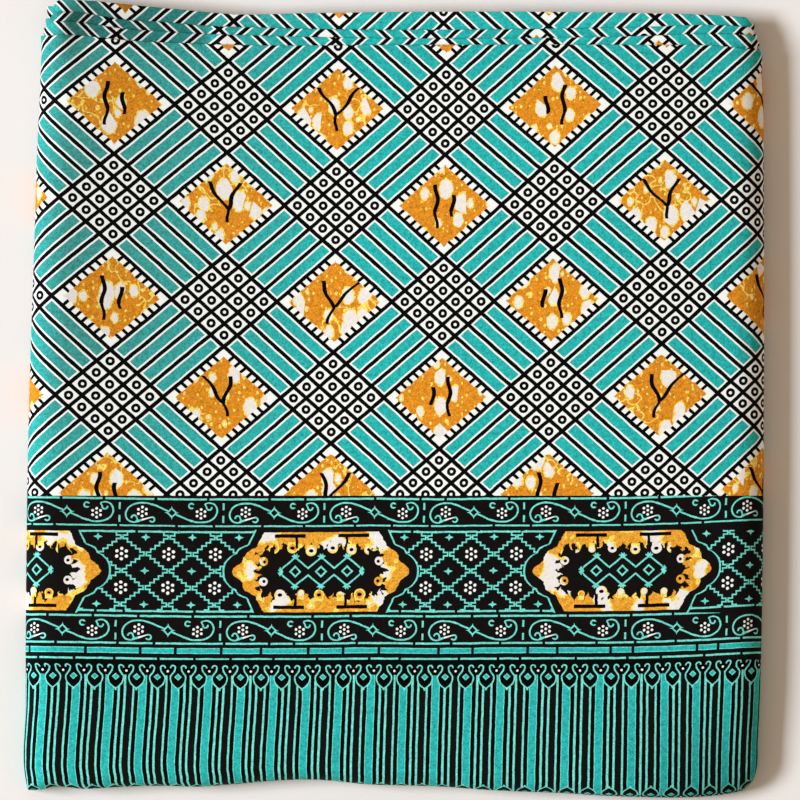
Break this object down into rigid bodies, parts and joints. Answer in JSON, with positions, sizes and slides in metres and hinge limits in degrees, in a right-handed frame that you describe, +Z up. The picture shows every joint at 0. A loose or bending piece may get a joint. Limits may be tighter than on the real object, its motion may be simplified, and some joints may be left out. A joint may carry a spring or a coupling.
{
  "type": "folded wax print fabric",
  "caption": "Length of wax print cotton folded into a flat, soft-edged stack that lies face up, with a checked teal, orange and black print and a barred border",
  "frame": {"origin": "middle of the flat underside, on the surface that the stack lies on", "axes": "+X across the visible third of the cloth's width, +Y along its length to the edge where the lower folds show, +Z up through the stack"},
  "size_m": [0.391, 0.4226, 0.0212],
  "materials": {
    "printed_cotton": "smooth printed plain-weave cotton with a faint wax sheen",
    "printed_cotton_inner": "printed plain-weave cotton, seen as layered fold edges"
  },
  "bodies": {
    "root": {"face_panel": "printed_cotton", "fold_upper": "printed_cotton", "fold_middle": "printed_cotton", "fold_lower": "printed_cotton", "hidden_layers": "printed_cotton_inner"}
  },
  "joints": []
}
